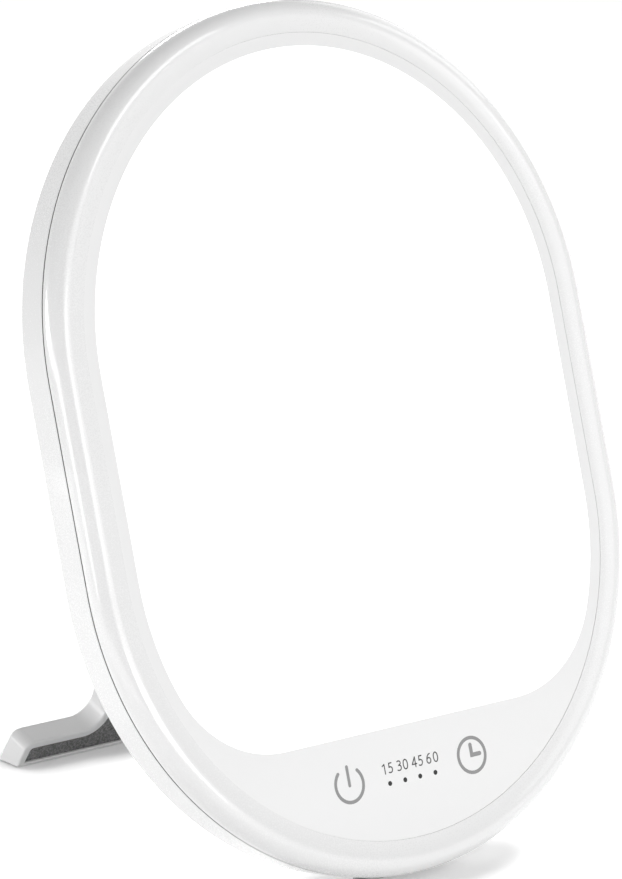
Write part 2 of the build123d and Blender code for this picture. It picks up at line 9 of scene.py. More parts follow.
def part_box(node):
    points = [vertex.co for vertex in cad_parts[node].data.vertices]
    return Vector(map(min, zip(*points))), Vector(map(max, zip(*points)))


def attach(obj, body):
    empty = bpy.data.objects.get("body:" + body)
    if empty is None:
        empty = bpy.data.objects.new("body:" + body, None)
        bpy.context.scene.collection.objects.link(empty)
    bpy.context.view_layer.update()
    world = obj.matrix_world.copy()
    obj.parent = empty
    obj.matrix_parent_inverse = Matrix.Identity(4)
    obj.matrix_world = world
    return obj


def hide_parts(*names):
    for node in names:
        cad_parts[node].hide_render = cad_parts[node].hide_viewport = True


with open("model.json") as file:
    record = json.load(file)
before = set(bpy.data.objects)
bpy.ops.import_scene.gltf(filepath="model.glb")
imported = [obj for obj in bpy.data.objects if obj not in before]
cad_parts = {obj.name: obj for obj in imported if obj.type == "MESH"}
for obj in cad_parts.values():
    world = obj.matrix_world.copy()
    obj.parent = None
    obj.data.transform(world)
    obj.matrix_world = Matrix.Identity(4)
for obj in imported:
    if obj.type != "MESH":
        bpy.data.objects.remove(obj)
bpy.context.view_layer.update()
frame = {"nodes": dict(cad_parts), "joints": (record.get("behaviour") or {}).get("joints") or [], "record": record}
print("frame loaded")

# Sizes are in millimetres and turned into metres by each piece's place.
# The head is drawn flat, as it leaves the mould: x right, y to its top, z out of the light,
# with z = 0 on the front of the face panel.
millimetre = 0.001
headSizes = {"radius": 97.5, "straight": 29.5, "depth": 17.0, "panelRadius": 87.3,
             "panelThick": 1.8, "seam": 5.4, "seamGap": 0.4, "wall": 2.0, "arcSteps": 96}


def squareUp(origin, up, front):           # a place whose x stays the viewer's right
    place = Matrix.Identity(4)
    for column, axis in enumerate((up.cross(front), up, front, origin)):
        for row in range(3):
            place[row][column] = axis[row]
    return place @ Matrix.Scale(millimetre, 4)


inlet = next(m for m in frame["record"]["mounts"] if m["name"] == "dc_inlet")
headFront = -Vector(inlet["axis"]).normalized()
headUp = headFront.cross(Vector((1, 0, 0)))
headLean = math.atan2(headUp.y, headUp.z)
toFace = headSizes["panelThick"] / 2 * millimetre * headFront
panelFace = sum(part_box("face_panel"), Vector()) / 2 + toFace
headPlace = squareUp(panelFace, headUp, headFront)

legTilt = math.radians(18)
legUp = Vector((0, -math.sin(legTilt), math.cos(legTilt)))
legFront = Vector((0, -math.cos(legTilt), -math.sin(legTilt)))
legPlace = squareUp(Vector(frame["joints"][0]["pos_m"]), legUp, legFront)
floorPlace = Matrix.Scale(millimetre, 4)


# Node helpers for materials and geometry.

class Wire:                                # one output of a node; operators add Math nodes
    def __init__(self, nodes, socket):
        self.nodes, self.socket = nodes, socket

    def __getitem__(self, name):           # another output of the same node
        return Wire(self.nodes, self.socket.node.outputs[name])

    def __add__(self, other):
        return self.nodes.math("ADD", self, other)

    def __sub__(self, other):
        return self.nodes.math("SUBTRACT", self, other)

    def __rsub__(self, other):
        return self.nodes.math("SUBTRACT", other, self)

    def __mul__(self, other):
        return self.nodes.math("MULTIPLY", self, other)

    __radd__, __rmul__ = __add__, __mul__


class Nodes:
    def __init__(self, tree):
        self.tree = tree
        tree.nodes.clear()

    def add(self, kind, sockets=None, output=0, **settings):
        node = self.tree.nodes.new(kind)
        for name, value in settings.items():
            setattr(node, name, value)
        for name, value in (sockets or {}).items():
            for one in value if isinstance(value, list) else [value]:
                if isinstance(one, Wire):
                    self.tree.links.new(one.socket, node.inputs[name])
                else:
                    node.inputs[name].default_value = one
        return Wire(self, node.outputs[output]) if node.outputs else node

    def math(self, operation, first, second=0.0):
        return self.add("ShaderNodeMath", {0: first, 1: second}, operation=operation)

    def mix(self, factor, first, second):
        return self.add("ShaderNodeMix", {0: factor, 6: first, 7: second}, 2, data_type="RGBA")

    def spread(self, value, low, high, start=0.0, end=1.0):
        return self.add("ShaderNodeMapRange", {
            "Value": value, "From Min": start, "From Max": end, "To Min": low, "To Max": high})

    def noise(self, where, scale, detail=3.0, roughness=0.5):
        return self.add("ShaderNodeTexNoise", {
            "Vector": where, "Scale": scale, "Detail": detail, "Roughness": roughness})

    def here(self, turn=(0, 0, 0), stretch=(1, 1, 1)):
        where = self.add("ShaderNodeTexCoord")["Object"]
        return self.add("ShaderNodeMapping", {
            "Vector": where, "Rotation": turn, "Scale": stretch})

    def bump(self, height, distance, strength=1.0):
        return self.add("ShaderNodeBump", {
            "Height": height, "Distance": distance, "Strength": strength})

    def vector(self, **parts):             # X, Y and Z, at 0 where not given
        return self.add("ShaderNodeCombineXYZ", parts)

    def shape(self, source):               # the mesh of an object
        return self.add("GeometryNodeObjectInfo", {"Object": source})["Geometry"]

    def solid(self, operation, sockets):   # exact join or cut of meshes
        return self.add("GeometryNodeMeshBoolean", sockets, operation=operation, solver="EXACT")


def grey(level):
    return (level, level, level, 1)


def newMaterial(name):
    material = bpy.data.materials.new(name)
    material.use_nodes = True
    return material, Nodes(material.node_tree)


def coated(roughness):                     # a clear gloss over the colour
    return {"Coat Weight": 1.0, "Coat Roughness": roughness}


def closeMaterial(material, nodes, paint, gloss, others):
    shader = nodes.add("ShaderNodeBsdfPrincipled", {
        "Base Color": paint, "Roughness": gloss, **others})
    nodes.add("ShaderNodeOutputMaterial", {"Surface": shader})
    return material


# A moulded surface: slow shade changes, a fine grain in relief, and uneven gloss.
def moulded(name, colour, shade, rough, grain, relief, speck=0.0, speckColour=None, fixed=None):
    material, nodes = newMaterial(name)
    where = nodes.here()
    slow = nodes.noise(where, 14.0, 2.0)
    fine = nodes.noise(where, grain, 4.0, 0.6)
    pale = tuple(min(1, c * (1 + shade)) for c in colour[:3]) + (1,)
    deep = tuple(c * (1 - shade) for c in colour[:3]) + (1,)
    paint = nodes.mix(slow, deep, pale)
    if speck:
        dots = nodes.spread(nodes.noise(where, grain * 0.6, 2.0), 0, speck, 0.55, 0.75)
        paint = nodes.mix(dots, paint, speckColour)
    gloss = nodes.spread(slow * 0.5 + fine * 0.5, rough[0], rough[1], 0.3, 0.7)
    return closeMaterial(material, nodes, paint, gloss, {
        "Normal": nodes.bump(fine, relief), **(fixed or {})})


def brushed(name, colour, rough=(0.25, 0.45), stretch=(1, 1, 12)):
    material, nodes = newMaterial(name)
    lines = nodes.noise(nodes.here(stretch=stretch), 700.0, 4.0, 0.65)
    stain = nodes.noise(nodes.here(), 90.0, 3.0)
    paint = nodes.mix(stain, tuple(c * 0.82 for c in colour[:3]) + (1,), colour)
    gloss = nodes.spread(lines, rough[0], rough[1], 0.3, 0.7)
    return closeMaterial(material, nodes, paint, gloss, {
        "Metallic": 1.0, "Normal": nodes.bump(lines, 0.000003)})


def boardGreen():                          # solder mask over copper tracks and pads
    material, nodes = newMaterial("boardGreen")
    tracks = nodes.add("ShaderNodeTexBrick", {
        "Vector": nodes.here(turn=(-headLean, 0, 0)), "Scale": 210.0, "Mortar Size": 0.06,
        "Color1": grey(0), "Color2": grey(0), "Mortar": grey(1)}, offset=0.4, squash=1.4)
    holes = nodes.add("ShaderNodeTexVoronoi", {
        "Vector": nodes.here(), "Scale": 260.0, "Randomness": 0.85}, feature="F1")
    pads = nodes.spread(holes, 1, 0, 0.12, 0.16)
    mask = nodes.mix(tracks, (0.012, 0.11, 0.045, 1), (0.03, 0.2, 0.075, 1))
    paint = nodes.mix(pads, mask, (0.72, 0.62, 0.4, 1))
    return closeMaterial(material, nodes, paint, 0.32, {
        "Metallic": pads, "Normal": nodes.bump(tracks, 0.00003, 0.6)})


def ledResin():                            # white packages with a round yellow window each
    material, nodes = newMaterial("ledResin")
    pitch = 0.024                          # from one LED to the next, in metres
    grid = nodes.here(turn=(headLean, 0, 0), stretch=(1 / pitch, 1 / pitch, 1))
    cell = nodes.add("ShaderNodeVectorMath", {0: grid}, operation="FRACTION")
    middle = nodes.add("ShaderNodeVectorMath", {0: cell, 1: (0.5, 0.5, 0.5)}, "Value",
                       operation="DISTANCE")
    glow = nodes.spread(middle, 1, 0, 0.45, 0.5)
    paint = nodes.mix(glow, grey(0.85), (0.86, 0.62, 0.12, 1))
    grain = nodes.noise(nodes.here(), 2500.0)
    return closeMaterial(material, nodes, paint, nodes.spread(grain, 0.25, 0.4), {
        "Normal": nodes.bump(grain, 0.00001)})


def litWindow():                           # the part of the panel that the light comes through
    material, nodes = newMaterial("litWindow")
    slow = nodes.noise(nodes.here(), 9.0, 1.0)
    glow = nodes.mix(slow, (0.93, 0.94, 0.95, 1), grey(1.0))
    paint = nodes.mix(slow, grey(0.86), grey(0.9))
    return closeMaterial(material, nodes, paint, nodes.spread(slow, 0.16, 0.22), {
        "Emission Color": glow, "Emission Strength": 0.55, **coated(0.04)})


def printedBorder():                       # pale grey print, with painted light making it paler low down round the keys
    material, nodes = newMaterial("printedBorder")
    where = nodes.here()
    screen = nodes.noise(where, 3200.0, 1.0)
    slow = nodes.noise(where, 10.0, 2.0)
    height = nodes.add("ShaderNodeSeparateXYZ", {0: where})["Z"]
    ring = nodes.mix(slow * 0.8 + screen * 0.2, grey(0.83), grey(0.855))
    # Painted light: the same print is drawn paler low down round the keys, for the brighter light there.
    paint = nodes.mix(nodes.spread(height, 1, 0, 0.03, 0.07), ring, grey(0.885))
    return closeMaterial(material, nodes, paint, nodes.spread(screen, 0.3, 0.4), coated(0.04))


def insertGrain():                         # dark cover with a coarse spark-eroded grain
    material, nodes = newMaterial("insertGrain")
    where = nodes.here()
    grains = nodes.noise(where, 1500.0, 3.0, 0.7)
    slow = nodes.noise(where, 25.0, 2.0)
    light = nodes.spread(grains, 0, 1, 0.36, 0.66)
    paint = nodes.mix(light * 0.8 + slow * 0.2, grey(0.045), grey(0.3))
    gloss = nodes.spread(grains, 0.45, 0.7, 0.3, 0.7)
    return closeMaterial(material, nodes, paint, gloss, {"Normal": nodes.bump(grains, 0.00012)})


mouldedLooks = {                           # colour, shade, rough, grain, relief, specks, the rest
    "whiteShell": (grey(0.838), 0.008, (0.24, 0.32), 2600.0, 0.0000002, 0.0, None, coated(0.07)),
    "satinShell": (grey(0.87), 0.008, (0.3, 0.38), 2600.0, 0.0000006),
    "greyInk": (grey(0.28), 0.04, (0.4, 0.55), 4000.0, 0.000001),
    "thinInk": (grey(0.03), 0.04, (0.4, 0.55), 4000.0, 0.000001),
    "blackInk": (grey(0.004), 0.04, (0.3, 0.4), 4000.0, 0.000001),
    "rubber": (grey(0.035), 0.12, (0.7, 0.85), 2200.0, 0.00004, 0.3, grey(0.06)),
    "paleRubber": (grey(0.42), 0.05, (0.6, 0.75), 2200.0, 0.00004, 0.3, grey(0.5)),
    # the seam strip's dark grey is painted shade for the gap between frame and cover
    "seamSeal": (grey(0.04), 0.08, (0.6, 0.75), 1800.0, 0.00001),
    "tapeFoam": (grey(0.05), 0.1, (0.8, 0.95), 2600.0, 0.00006),
    "opalDiffuser": (grey(0.9), 0.01, (0.4, 0.5), 1800.0, 0.00001),
    "whiteInner": (grey(0.86), 0.02, (0.5, 0.62), 1300.0, 0.00001),
    "whiteFilm": (grey(0.93), 0.01, (0.3, 0.42), 600.0, 0.000004),
    "boardAluminium": (grey(0.8), 0.02, (0.35, 0.5), 900.0, 0.000008, 0.15, grey(0.6)),
    "blackComponent": (grey(0.02), 0.1, (0.45, 0.6), 2600.0, 0.00002, 0.4, grey(0.05)),
    "leadSleeve": ((0.3, 0.02, 0.02, 1), 0.08, (0.35, 0.5), 1500.0, 0.000006),
    "padRubber": (grey(0.06), 0.15, (0.8, 0.95), 1600.0, 0.00008),
    "blackGuide": (grey(0.015), 0.08, (0.5, 0.65), 1800.0, 0.00001),
    "blackSocket": (grey(0.018), 0.08, (0.32, 0.45), 1900.0, 0.000012),
    "washerNylon": ((0.8, 0.78, 0.7, 1), 0.02, (0.35, 0.5), 1200.0, 0.000006, 0.0, None,
                    {"Subsurface Weight": 0.2, "Subsurface Radius": (0.002, 0.002, 0.002)})}
finish = {
    **{name: moulded(name, *look) for name, look in mouldedLooks.items()},
    "printedBorder": printedBorder(), "litWindow": litWindow(), "insertGrain": insertGrain(),
    "boardGreen": boardGreen(), "ledResin": ledResin(),
    "zincSteel": brushed("zincSteel", (0.62, 0.63, 0.66, 1)),
    "steelPin": brushed("steelPin", (0.56, 0.56, 0.57, 1), (0.18, 0.32), (10, 1, 1)),
    "platedPin": brushed("platedPin", (0.8, 0.76, 0.66, 1), (0.12, 0.25))}
print("finishes made")


# Outlines, and surfaces made from them.

def roundCorners(corners, steps=3):        # (x, y, radius) corners to a line of points
    line = []
    for i, (x, y, radius) in enumerate(corners):
        here = Vector((x, y))
        if not radius:
            line.append(here)
            continue
        back = (Vector(corners[i - 1][:2]) - here).normalized()
        ahead = (Vector(corners[(i + 1) % len(corners)][:2]) - here).normalized()
        half = back.angle(ahead) / 2
        middle = here + (back + ahead).normalized() * radius / math.sin(half)
        start = here + back * radius / math.tan(half) - middle
        turn = (math.pi - 2 * half) * (1 if back.cross(ahead) < 0 else -1)
        line += [middle + Matrix.Rotation(turn * k / steps, 2) @ start for k in range(steps + 1)]
    return line


def oval(radius, height):                  # the head's outline: straight sides, round ends
    points = []
    steps = headSizes["arcSteps"]
    for end in (0, 1):
        for i in range(steps + 1):
            turn = math.pi * (end + i / steps)
            shift = headSizes["straight"] * (1 - 2 * end)
            points.append((radius * math.cos(turn), shift + radius * math.sin(turn), height))
    return points


def circle(x, y, radius, height, steps=32):
    turns = [2 * math.pi * i / steps for i in range(steps)]
    return [(x + radius * math.cos(t), y + radius * math.sin(t), height) for t in turns]


def slotOutline(length, width, height, steps=8):
    long, half = length / 2, width / 2
    corners = [(long, half), (-long, half), (-long, -half), (long, -half)]
    flat = roundCorners([(x, y, half * 0.999) for x, y in corners], steps)
    return [(p.x, p.y, height) for p in flat]


def newObject(name, data):
    made = bpy.data.objects.new(name, data)
    bpy.context.scene.collection.objects.link(made)
    return made


class Skin:                                # closed surfaces built from loops of points
    def __init__(self):
        self.mesh = bmesh.new()

    def loops(self, outlines):             # joined one to the next by four-sided faces
        made = [[self.mesh.verts.new(p) for p in outline] for outline in outlines]
        for low, high in zip(made, made[1:]):
            for i in range(len(low)):
                j = (i + 1) % len(low)
                self.mesh.faces.new((low[i], low[j], high[j], high[i]))
        return made

    def fill(self, outer, holes=(), slot=0):
        rings = [outer, *holes]
        corners = [v for ring in rings for v in ring]
        for triangle in tessellate_polygon([[v.co for v in ring] for ring in rings]):
            self.mesh.faces.new([corners[i] for i in triangle]).material_index = slot

    def closed(self, outlines):            # loops with both ends filled
        made = self.loops(outlines)
        self.fill(made[0])
        self.fill(made[-1])

    def bar(self, middle, size, edge):     # a block with softened corners
        x, y, z = middle
        wide, deep, tall = (s / 2 for s in size)
        bend, outlines = edge * 0.3, []
        for inset, height in ((edge, -tall), (bend, bend - tall), (0, edge - tall),
                              (0, tall - edge), (bend, tall - bend), (edge, tall)):
            corners = [(sx * (wide - inset), sy * (deep - inset), max(edge * 2 - inset, edge))
                       for sx, sy in ((1, 1), (-1, 1), (-1, -1), (1, -1))]
            outlines.append([(x + p.x, y + p.y, z + height) for p in roundCorners(corners, 4)])
        self.closed(outlines)

    def done(self, name):
        bmesh.ops.recalc_face_normals(self.mesh, faces=self.mesh.faces)
        mesh = bpy.data.meshes.new(name)
        self.mesh.to_mesh(mesh)
        self.mesh.free()
        return newObject(name, mesh)


def plainMesh(source, name):               # modifiers and curves turned into one mesh
    bpy.context.view_layer.update()
    graph = bpy.context.evaluated_depsgraph_get()
    mesh = bpy.data.meshes.new_from_object(source.evaluated_get(graph))
    bpy.data.objects.remove(source)
    return newObject(name, mesh)


def newTree(name, inputs):
    tree = bpy.data.node_groups.new(name, "GeometryNodeTree")
    for label, kind in {"Geometry": "Geometry", **inputs, "Material": "Material"}.items():
        tree.interface.new_socket(label, in_out="INPUT", socket_type="NodeSocket" + kind)
    tree.interface.new_socket("Geometry", in_out="OUTPUT", socket_type="NodeSocketGeometry")
    nodes = Nodes(tree)
    return nodes, nodes.add("NodeGroupInput")


def closeTree(nodes, shape, given):
    real = nodes.add("GeometryNodeRealizeInstances", {0: shape})
    painted = nodes.add("GeometryNodeSetMaterial", {
        "Geometry": real, "Material": given["Material"]})
    nodes.add("NodeGroupOutput", {0: painted})
    return nodes.tree


def runTree(source, tree, values, name):
    modifier = source.modifiers.new(tree.name, "NODES")
    modifier.node_group = tree
    keys = {s.name: s.identifier for s in tree.interface.items_tree if s.in_out == "INPUT"}
    for label, value in values.items():
        if value is not None:
            modifier[keys[label]] = value
    made = plainMesh(source, name)
    for label, value in values.items():
        if isinstance(value, bpy.types.Object):
            bpy.data.objects.remove(value)
    return made


# Places a finished mesh, softens its shading between true edges, and puts it on its body.
def settle(made, place, body, replaced=(), finishes=(), sharp=36.0):
    mesh = made.data
    for one in finishes:
        mesh.materials.append(finish[one])
    mesh.transform(place)
    mesh.shade_smooth()
    mesh.set_sharp_from_angle(angle=math.radians(sharp))
    weighted = made.modifiers.new("evenFaces", "WEIGHTED_NORMAL")
    weighted.keep_sharp = True
    weighted.weight = 90
    made = plainMesh(made, made.name)
    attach(made, body)
    if replaced:
        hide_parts(*replaced)


# Front frame: one profile carried round the head's outline.

frontSettings = {"lip": 0.15, "crest": 0.8, "dish": 0.2, "shoulder": 5.3, "crestSoft": 0.5,
                 "wallTop": -4.6, "dishSteps": 12, "crestSteps": 6, "shoulderSteps": 20,
                 "ledgeTop": -2.0, "ledgeLow": -3.5, "ledgeWide": 3.4, "bezelLow": -1.85,
                 "tongueWide": 0.6, "tongueLong": 1.8, "softEdge": 0.14, "tightEdge": 0.1,
                 "seamEdge": 0.2, "hollowEdge": 0.3, "lipEdge": 0.05,
                 "bossInset": 5.5, "bossRadius": 2.9, "bossBore": 1.3, "bossLow": -8.85,
                 "bossTip": -3.65, "bossEdge": 0.15, "boreEdge": 0.2, "drillPoint": 0.3,
                 "bossLap": 0.5}


def sweepTree():
    nodes, given = newTree("sweepRoundOval", {
        "Oval Width": "Float", "Oval Height": "Float", "Arc Points": "Int",
        "Bosses": "Object"})
    box = nodes.add("GeometryNodeCurvePrimitiveQuadrilateral", {
        "Width": given["Oval Width"], "Height": given["Oval Height"]})
    path = nodes.add("GeometryNodeFilletCurve", {
        "Curve": box, "Count": given["Arc Points"], "Radius": given["Oval Width"] * 0.4998,
        "Limit Radius": True}, mode="POLY")
    swept = nodes.add("GeometryNodeCurveToMesh", {
        "Curve": path, "Profile Curve": given["Geometry"]})
    whole = nodes.add("GeometryNodeMergeByDistance", {
        "Geometry": swept, "Distance": 0.0005})
    joined = nodes.add("GeometryNodeJoinGeometry", {
        "Geometry": [whole, nodes.shape(given["Bosses"])]})
    return closeTree(nodes, joined, given)


def diagonalSpots(reach):                  # this far out on the diagonals of the round ends
    line = reach * math.sqrt(0.5)
    tall = headSizes["straight"] + line
    return [(line, tall), (-line, tall), (line, -tall), (-line, -tall)]


caseScrewSpots = diagonalSpots(headSizes["radius"] - frontSettings["bossInset"])


def frontProfile(s):
    outer, panel, wall = headSizes["radius"], headSizes["panelRadius"], headSizes["wall"]
    seam, soft = -headSizes["seam"], s["softEdge"]
    tight, hollow = s["tightEdge"], s["hollowEdge"]
    top = Vector((outer - s["shoulder"], s["crest"]))
    foot = Vector((panel, s["lip"]))
    dish = []
    for k in range(1, s["dishSteps"]):     # hollow face from the lip to the crest
        along = k / s["dishSteps"]
        point = foot.lerp(top, along)
        dish.append((point.x, point.y - s["dish"] * 4 * along * (1 - along)))
    reach = s["crestSoft"]                 # the crest is softened over this length each side
    rise = (dish[-1][1] - dish[-2][1]) / (dish[-1][0] - dish[-2][0])
    start = top - Vector((1, rise)).normalized() * reach
    dish = [p for p in dish if p[0] < start.x - reach / 10]
    arcTurn = reach / s["shoulder"]
    arcMiddle = top - Vector((0, s["shoulder"]))
    landing = arcMiddle + s["shoulder"] * Vector((math.sin(arcTurn), math.cos(arcTurn)))
    shares = [k / s["crestSteps"] for k in range(s["crestSteps"] + 1)]
    crest = [start.lerp(top, t).lerp(top.lerp(landing, t), t) for t in shares]
    shoulder = []
    for k in range(1, s["shoulderSteps"] + 1):
        turn = arcTurn + (math.pi / 2 - arcTurn) * k / s["shoulderSteps"]
        shoulder.append(arcMiddle + s["shoulder"] * Vector((math.sin(turn), math.cos(turn))))
    inside, tongue = outer - wall, outer - wall + s["tongueWide"]
    deep = seam - s["tongueLong"]
    corners = [
        (outer, s["wallTop"], 0), (outer, seam, s["seamEdge"]), (tongue, seam, tight),
        (tongue, deep, soft), (inside, deep, soft), (inside, seam + wall, hollow),
        (inside - wall, s["bezelLow"], hollow), (panel + wall, s["bezelLow"], hollow),
        (panel + wall, s["ledgeLow"], soft),
        (panel - s["ledgeWide"], s["ledgeLow"], soft),
        (panel - s["ledgeWide"], s["ledgeTop"], soft), (panel, s["ledgeTop"], tight),
        (panel, s["lip"], s["lipEdge"]), (*dish[0], 0)]
    back = roundCorners(corners)[:-1]
    return back[1:] + [Vector(p) for p in dish] + crest + shoulder


def profileCurve(points):                  # distance out of the outline, and depth
    data = bpy.data.curves.new("profile", "CURVE")
    data.dimensions = "2D"
    spline = data.splines.new("POLY")
    spline.points.add(len(points) - 1)
    for spot, point in zip(spline.points, points):
        spot.co = (point.x - headSizes["radius"], -point.y, 0, 1)
    spline.use_cyclic_u = True
    return newObject("profile", data)


def frontBosses(s):
    skin, bore, wide = Skin(), s["bossBore"], s["bossRadius"]
    low, mouth, edge = s["bossLow"], s["boreEdge"], s["bossEdge"]
    for x, y in caseScrewSpots:
        skin.closed([circle(x, y, r, z, 24) for r, z in (
            (bore / 2, s["bossTip"] + s["drillPoint"]), (bore, s["bossTip"]), (bore, low + mouth),
            (bore + mouth, low), (wide - edge, low), (wide, low + edge),
            (wide, s["bezelLow"] + s["bossLap"]))])
    return skin.done("bosses")


values = {"Oval Width": 2 * headSizes["radius"],
          "Oval Height": 2 * (headSizes["radius"] + headSizes["straight"]),
          "Arc Points": 64, "Bosses": frontBosses(frontSettings),
          "Material": finish["whiteShell"]}
sweep = sweepTree()
frontFrame = runTree(profileCurve(frontProfile(frontSettings)), sweep, values, "frontFrame")
settle(frontFrame, headPlace, "head", ["front_frame"])

# Painted shade: a dark strip laid in the seam between frame and cover, standing in for the shadow of the gap.
seamShadeSettings = {"sunk": 0.04, "wide": 0.9, "play": 0.02, "edge": 0.08}


def seamShadeProfile(s):                        # painted shade: a dark strip in the seam, standing in for the gap's shadow
    high = -headSizes["seam"] - s["play"]
    low = high - headSizes["seamGap"] + 2 * s["play"]
    outer = headSizes["radius"] - s["sunk"]
    return roundCorners([(outer, high, s["edge"]), (outer, low, s["edge"]),
                         (outer - s["wide"], low, s["edge"]), (outer - s["wide"], high, s["edge"])])


values = {**values, "Bosses": None, "Material": finish["seamSeal"]}
seamSeal = runTree(profileCurve(seamShadeProfile(seamShadeSettings)), sweep, values, "seamSeal")
settle(seamSeal, headPlace, "head")
print("front frame made")


# Rear cover: tapered tray with bored tubes and posts, then its air slots.

rearSettings = {"taper": 1.0, "backEdge": 0.4, "backLand": 2.0, "rimEdge": 0.2, "tightEdge": 0.1,
                "floorEdge": 0.6, "floorLand": 3.0, "rabbetWide": 1.25, "rabbetDeep": 1.8,
                "floor": -15.0, "seat": -11.15, "tubeTop": -9.15, "headBore": 2.6,
                "tubeRadius": 3.6, "tubeEdge": 0.15, "bore": 1.3, "postRadius": 2.9,
                "boardReach": 64.2, "boardPost": -12.9, "boardTip": -15.6,
                "controlPost": -6.0, "controlRadius": 2.6, "inlet": (31.0, -100.5, 4.35),
                "mouthEdge": 0.25}
slotSettings = {"length": 32.0, "width": 2.2, "pitch": 9.0, "rows": 4, "column": 42.0,
                "lowest": -1.5, "edge": 0.3, "deep": 3.5}
boardScrewSpots = diagonalSpots(rearSettings["boardReach"])[:2] + [(32.0, -79.1), (-32.0, -79.1)]
controlScrewSpots = [(40.026, -94.0), (-40.026, -94.0)]
bracketScrewSpots = [(9.0, 77.239), (-9.0, 77.239)]
padSettings = {"baseLong": 30.0, "baseDeep": 3.2, "thick": 1.2, "footLong": 15.0, "play": 0.15,
               "seatEdge": 0.05, "edge": 0.3}


def rearTray(s):
    radius, back, floor = headSizes["radius"], -headSizes["depth"], s["floor"]
    rim = -headSizes["seam"] - headSizes["seamGap"]
    rabbet, step = radius - s["rabbetWide"], rim - s["rabbetDeep"]
    inside, tight = radius - headSizes["wall"], s["tightEdge"]
    outerBack, innerFloor = radius - s["taper"], inside - s["taper"]
    corners = [
        (outerBack - s["backLand"], back, 0), (outerBack, back, s["backEdge"]),
        (radius, rim, s["rimEdge"]), (rabbet, rim, tight), (rabbet, step, tight),
        (inside, step, tight), (innerFloor, floor, s["floorEdge"]),
        (innerFloor - s["floorLand"], floor, 0)]
    skin = Skin()
    rings = skin.loops([oval(p.x, p.y) for p in roundCorners(corners)])
    backHoles, floorHoles = [], []
    edge, bore, post = s["mouthEdge"], s["bore"], s["postRadius"]
    tube, soft = s["tubeRadius"], s["tubeEdge"]

    def mouth(r):                          # softened mouth of a hole in the back
        return [(r + edge, back), (r + edge * 0.3, back + edge * 0.3), (r, back + edge)]

    def drill(x, y, chain, through=True):  # a hole or a post, from the back to the floor
        made = skin.loops([circle(x, y, r, z) for r, z in chain])
        if through:
            backHoles.append(made[0])
        else:
            skin.fill(made[0])
        floorHoles.append(made[-1])

    for x, y in caseScrewSpots:
        drill(x, y, mouth(s["headBore"]) + [
            (s["headBore"], s["seat"]), (bore, s["seat"]), (bore, s["tubeTop"]),
            (tube - soft, s["tubeTop"]), (tube, s["tubeTop"] - soft), (tube, floor)])
    for x, y in bracketScrewSpots:
        drill(x, y, [(bore, back), (bore, s["boardPost"]), (post, s["boardPost"]),
                     (post, floor)])
    for x, y in boardScrewSpots:
        drill(x, y, [(bore, s["boardTip"]), (bore, s["boardPost"]), (post, s["boardPost"]),
                     (post, floor)], False)
    for x, y in controlScrewSpots:
        wide = s["controlRadius"]
        drill(x, y, [(bore, floor), (bore, s["controlPost"]), (wide, s["controlPost"]),
                     (wide, floor)], False)
    x, y, wide = s["inlet"]
    drill(x, y, mouth(wide) + [(wide, floor)])
    skin.fill(rings[0], backHoles)
    skin.fill(rings[-1], floorHoles)
    return skin.done("tray")


def slotCutter(s):
    back, edge = -headSizes["depth"], s["edge"]
    steps = ((0, s["deep"]), (0, edge), (0.3, edge * 0.35), (1, 0), (2, -edge * 0.5))
    skin = Skin()
    skin.closed([slotOutline(s["length"] + 2 * k * edge, s["width"] + 2 * k * edge, back + z)
                 for k, z in steps])
    return skin.done("slotCutter")


def padSeat(s):                            # flat cut on the standing plane for the base pad
    size = (s["baseLong"] + 2 * s["play"], 2 * s["baseDeep"] + 2 * s["play"], s["thick"])
    skin = Skin()
    skin.bar((0, s["baseDeep"] / 2, s["thick"] / 2), size, s["seatEdge"])
    made = skin.done("padSeat")
    made.data.transform(headPlace.inverted() @ floorPlace)
    return made


def slotTree():
    nodes, given = newTree("airSlots", {
        "Slot": "Object", "Seat": "Object", "Rows": "Int", "Pitch": "Float",
        "Column": "Float", "Lowest": "Float"})
    slot, step = nodes.shape(given["Slot"]), nodes.vector(Y=given["Pitch"])
    cutters = []
    for side in (1, -1):
        start = nodes.vector(X=given["Column"] * side, Y=given["Lowest"])
        line = nodes.add("GeometryNodeMeshLine", {
            "Count": given["Rows"], "Start Location": start, "Offset": step}, mode="OFFSET")
        cutters.append(nodes.add("GeometryNodeInstanceOnPoints", {
            "Points": line, "Instance": slot}))
    cutters.append(nodes.shape(given["Seat"]))
    row = nodes.add("GeometryNodeJoinGeometry", {"Geometry": cutters})
    real = nodes.add("GeometryNodeRealizeInstances", {0: row})
    cut = nodes.solid("DIFFERENCE", {"Mesh 1": given["Geometry"], "Mesh 2": real})
    return closeTree(nodes, cut, given)


values = {"Slot": slotCutter(slotSettings), "Seat": padSeat(padSettings),
          "Rows": slotSettings["rows"], "Pitch": slotSettings["pitch"],
          "Column": slotSettings["column"], "Lowest": slotSettings["lowest"],
          "Material": finish["whiteShell"]}
rearShell = runTree(rearTray(rearSettings), slotTree(), values, "rearShell")
settle(rearShell, headPlace, "head", ["rear_cover"])
print("rear cover made")


# Face panel: flat glossy sheet, lit window inside a printed border.

panelSettings = {"play": 0.02, "edge": 0.06, "land": 2.0, "windowRadius": 83.4,
                 "cornerRadius": 36.0, "cornerX": 43.5, "cornerY": -48.3}


